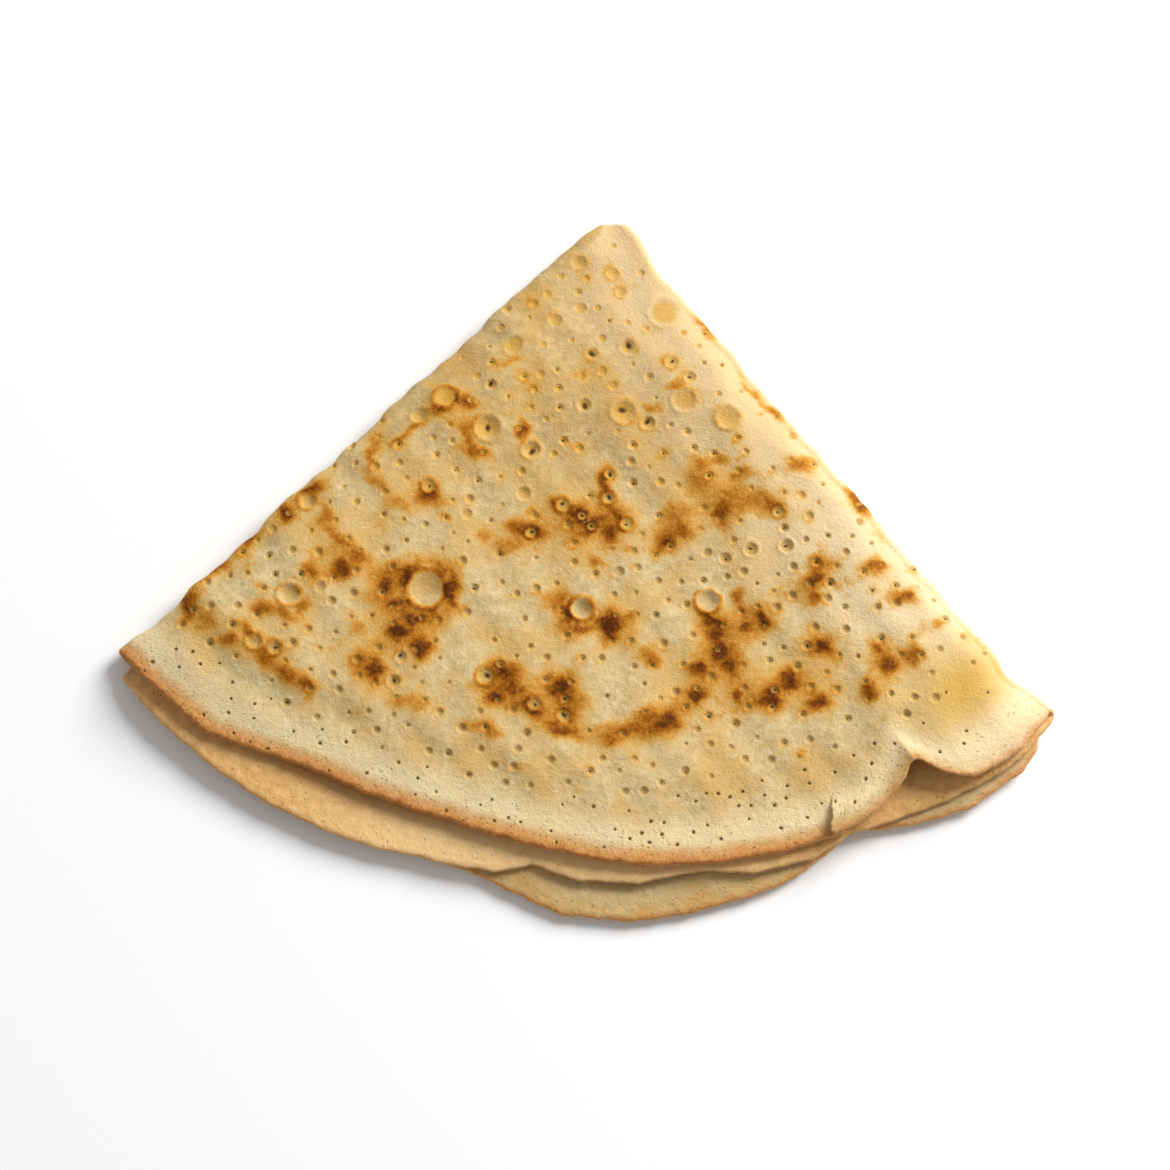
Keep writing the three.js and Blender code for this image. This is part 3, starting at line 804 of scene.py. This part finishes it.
# Toasted batter: golden, amber and then dark brown, broken up by fine flecks.
toast_fine = reckon("MULTIPLY", reckon("MULTIPLY_ADD", fleck, 1.5, 0.25), toast_mark)
toast_fine = reckon("ADD", toast_fine, between(cloud(0.16, 4.0, 0.6), 0.52, 0.76, 0, 0.22))
toasted = graded(
    toast_fine, (0.0, shade(222, 196, 138)), (0.15, shade(219, 177, 99)), (0.34, shade(206, 148, 60)),
    (0.54, shade(178, 112, 22)), (0.78, shade(137, 76, 4)), (1.0, shade(92, 44, 0)),
)
colour = mixed(between(toast_fine, 0.02, 0.3), pale, toasted)

# Dry rim: a whiter band, then orange, then brown at the very edge, with darker flecks.
dry_band = reckon("MULTIPLY", between(rim_distance, 1.5, 4.0), between(rim_distance, 11.0, 5.0))
colour = mixed(reckon("MULTIPLY", dry_band, whiteness), colour, shade(245, 225, 180))
ragged = reckon("MULTIPLY_ADD", reckon("SUBTRACT", cloud(0.5, 5.0, 0.7), 0.5), 3.6, rim_distance)
orange_reach = reckon("MULTIPLY_ADD", rim_heat, 4.2, -0.2)
orange_strength = reckon("MULTIPLY_ADD", rim_heat, 0.6, 0.35)
orange_share = reckon("MULTIPLY", between(ragged, orange_reach, 0.0), orange_strength)
colour = mixed(orange_share, colour, shade(220, 154, 86))
edge_share = reckon("MULTIPLY", between(ragged, 1.2, -0.6), reckon("MULTIPLY", rim_heat, 0.7))
colour = mixed(edge_share, colour, shade(158, 96, 44))
crust_flecks = reckon("MULTIPLY", orange_share, between(cloud(1.6, 3.0, 0.6), 0.54, 0.64))
colour = mixed(reckon("MULTIPLY", crust_flecks, 0.6), colour, shade(150, 86, 36))

# Dish floors, golden near the folded point and olive elsewhere, the olive partly painted shade in the dish,
# and pinholes painted dark as shade in the hole.
golden = between(sheet_down, -85, -50)
# Partly painted shade: the olive floor tint away from the point darkens the dish as shade would.
floor_tint_and_shade = mixed(golden, shade(176, 138, 66), shade(212, 164, 66))
floor_colour_and_shade = mixed(reckon("MULTIPLY_ADD", golden, -0.1, 0.3), floor_tint_and_shade, colour)
floor_strength = reckon("MULTIPLY_ADD", reckon("MAXIMUM", small_bubble, golden), 0.4, 0.5)
colour = mixed(reckon("MULTIPLY", floor_share, floor_strength), colour, floor_colour_and_shade)
# Painted shade: the pinholes are painted near black, as the shade inside a hole.
colour = mixed(reckon("MULTIPLY", pinhole, 0.92), colour, shade(54, 32, 10))

# The inner skin was baked second: smoother and evenly tanned, darker further in as painted shade under the
# layer above.
tan = graded(mottle, (0.3, shade(212, 164, 100)), (0.7, shade(235, 192, 129)))
# Painted light: a paler tan in the lit middle of the second layer.
tan = mixed(reckon("MULTIPLY", dry_and_lit_paleness, 0.6), tan, shade(250, 216, 160))
# Painted shade: darker tan further in from the rim, where the layer above overhangs and shades it.
tan = mixed(between(rim_distance, 4.5, 10.0, 0, 0.55), tan, shade(172, 114, 44))
colour = mixed(between(skin_turn, 0.55, 1.0), colour, tan)

# Fine pores and specks all over.
pores = batter_tree.nodes.new("ShaderNodeTexVoronoi")
feed(sheet, pores.inputs["Vector"])
pores.inputs["Scale"].default_value = 1.0
pore_split = batter_tree.nodes.new("ShaderNodeSeparateXYZ")
feed(pores.outputs["Color"], pore_split.inputs[0])
some = between(pore_split.outputs[0], 0.5, 0.52)
pore_edge = reckon("MULTIPLY_ADD", between(rim_distance, 9.0, 4.0), 0.14, 0.16)
pore = reckon("MULTIPLY", between(pores.outputs["Distance"], pore_edge, 0.05), some)
colour = mixed(reckon("MULTIPLY", pore, 0.5), colour, shade(120, 84, 44))
colour = mixed(between(grain, 0.35, 0.7, 0.0, 0.14), colour, shade(196, 170, 122), "MULTIPLY")
feed(colour, shader.inputs["Base Color"])

# Its fine surface: soft, a little rough, and letting some light in.
height = reckon("MULTIPLY", floor_share, -0.25)
height = reckon("MULTIPLY_ADD", pinhole, -0.3, height)
height = reckon("MULTIPLY_ADD", grain, 0.16, height)
height = reckon("MULTIPLY_ADD", mottle, 0.5, height)
height = reckon("MULTIPLY_ADD", pore, -0.25, height)
height = reckon("MULTIPLY_ADD", fleck, 0.25, height)
bump = batter_tree.nodes.new("ShaderNodeBump")
bump.inputs["Strength"].default_value = 0.7
bump.inputs["Distance"].default_value = 0.0006
feed(height, bump.inputs["Height"])
feed(bump.outputs[0], shader.inputs["Normal"])
feed(between(fleck, 0.3, 0.7, 0.55, 0.75), shader.inputs["Roughness"])
shader.inputs["Specular IOR Level"].default_value = 0.1
shader.inputs["Subsurface Weight"].default_value = 0.45
shader.inputs["Subsurface Radius"].default_value = (1.0, 0.6, 0.3)
shader.inputs["Subsurface Scale"].default_value = 0.0014
mesh.materials.append(batter)

# THE TABLE, THE LIGHT AND THE CAMERA
# A white table top in a white room, under one big soft light from behind on the right, seen from
# above at a steep angle.
floor_mesh = bpy.data.meshes.new("table_top")
bm = bmesh.new()
bmesh.ops.create_grid(bm, x_segments=1, y_segments=1, size=3.0)
bmesh.ops.translate(bm, vec=(0, 0, -0.0002), verts=bm.verts)
bm.to_mesh(floor_mesh)
bm.free()
floor = bpy.data.objects.new("table_top", floor_mesh)
bpy.context.collection.objects.link(floor)
white = bpy.data.materials.new("white_table")
white.use_nodes = True
white.node_tree.nodes["Principled BSDF"].inputs["Base Color"].default_value = (0.95, 0.95, 0.95, 1)
white.node_tree.nodes["Principled BSDF"].inputs["Roughness"].default_value = 0.7
floor_mesh.materials.append(white)

world = bpy.data.worlds.new("white_room")
bpy.context.scene.world = world
world.use_nodes = True
world.node_tree.nodes["Background"].inputs["Color"].default_value = (1, 1, 1, 1)
world.node_tree.nodes["Background"].inputs["Strength"].default_value = 0.38

softbox = bpy.data.lights.new("softbox", "AREA")
softbox.shape = "DISK"
softbox.size = 0.95
softbox.energy = 37.6
lamp = bpy.data.objects.new("softbox", softbox)
bpy.context.collection.objects.link(lamp)
lamp.location = (0.98, 0.93, 0.95)
lamp.rotation_euler = (Vector((0, 0, 0)) - lamp.location).to_track_quat("-Z", "Y").to_euler()

camera = bpy.data.cameras.new("camera")
camera.sensor_width = 36
camera.lens = 107.7
viewer = bpy.data.objects.new("camera", camera)
bpy.context.collection.objects.link(viewer)
bpy.context.scene.camera = viewer
elevation = math.radians(75)
azimuth = math.radians(3.5)
distance = 0.7
aim = Vector((-0.0006, -0.0054, 0.004))
level = math.cos(elevation)
back = Vector((level * math.sin(azimuth), -level * math.cos(azimuth), math.sin(elevation)))
viewer.location = aim + distance * back
viewer.rotation_euler = back.to_track_quat("Z", "Y").to_euler()
bpy.context.scene.view_settings.view_transform = "Standard"
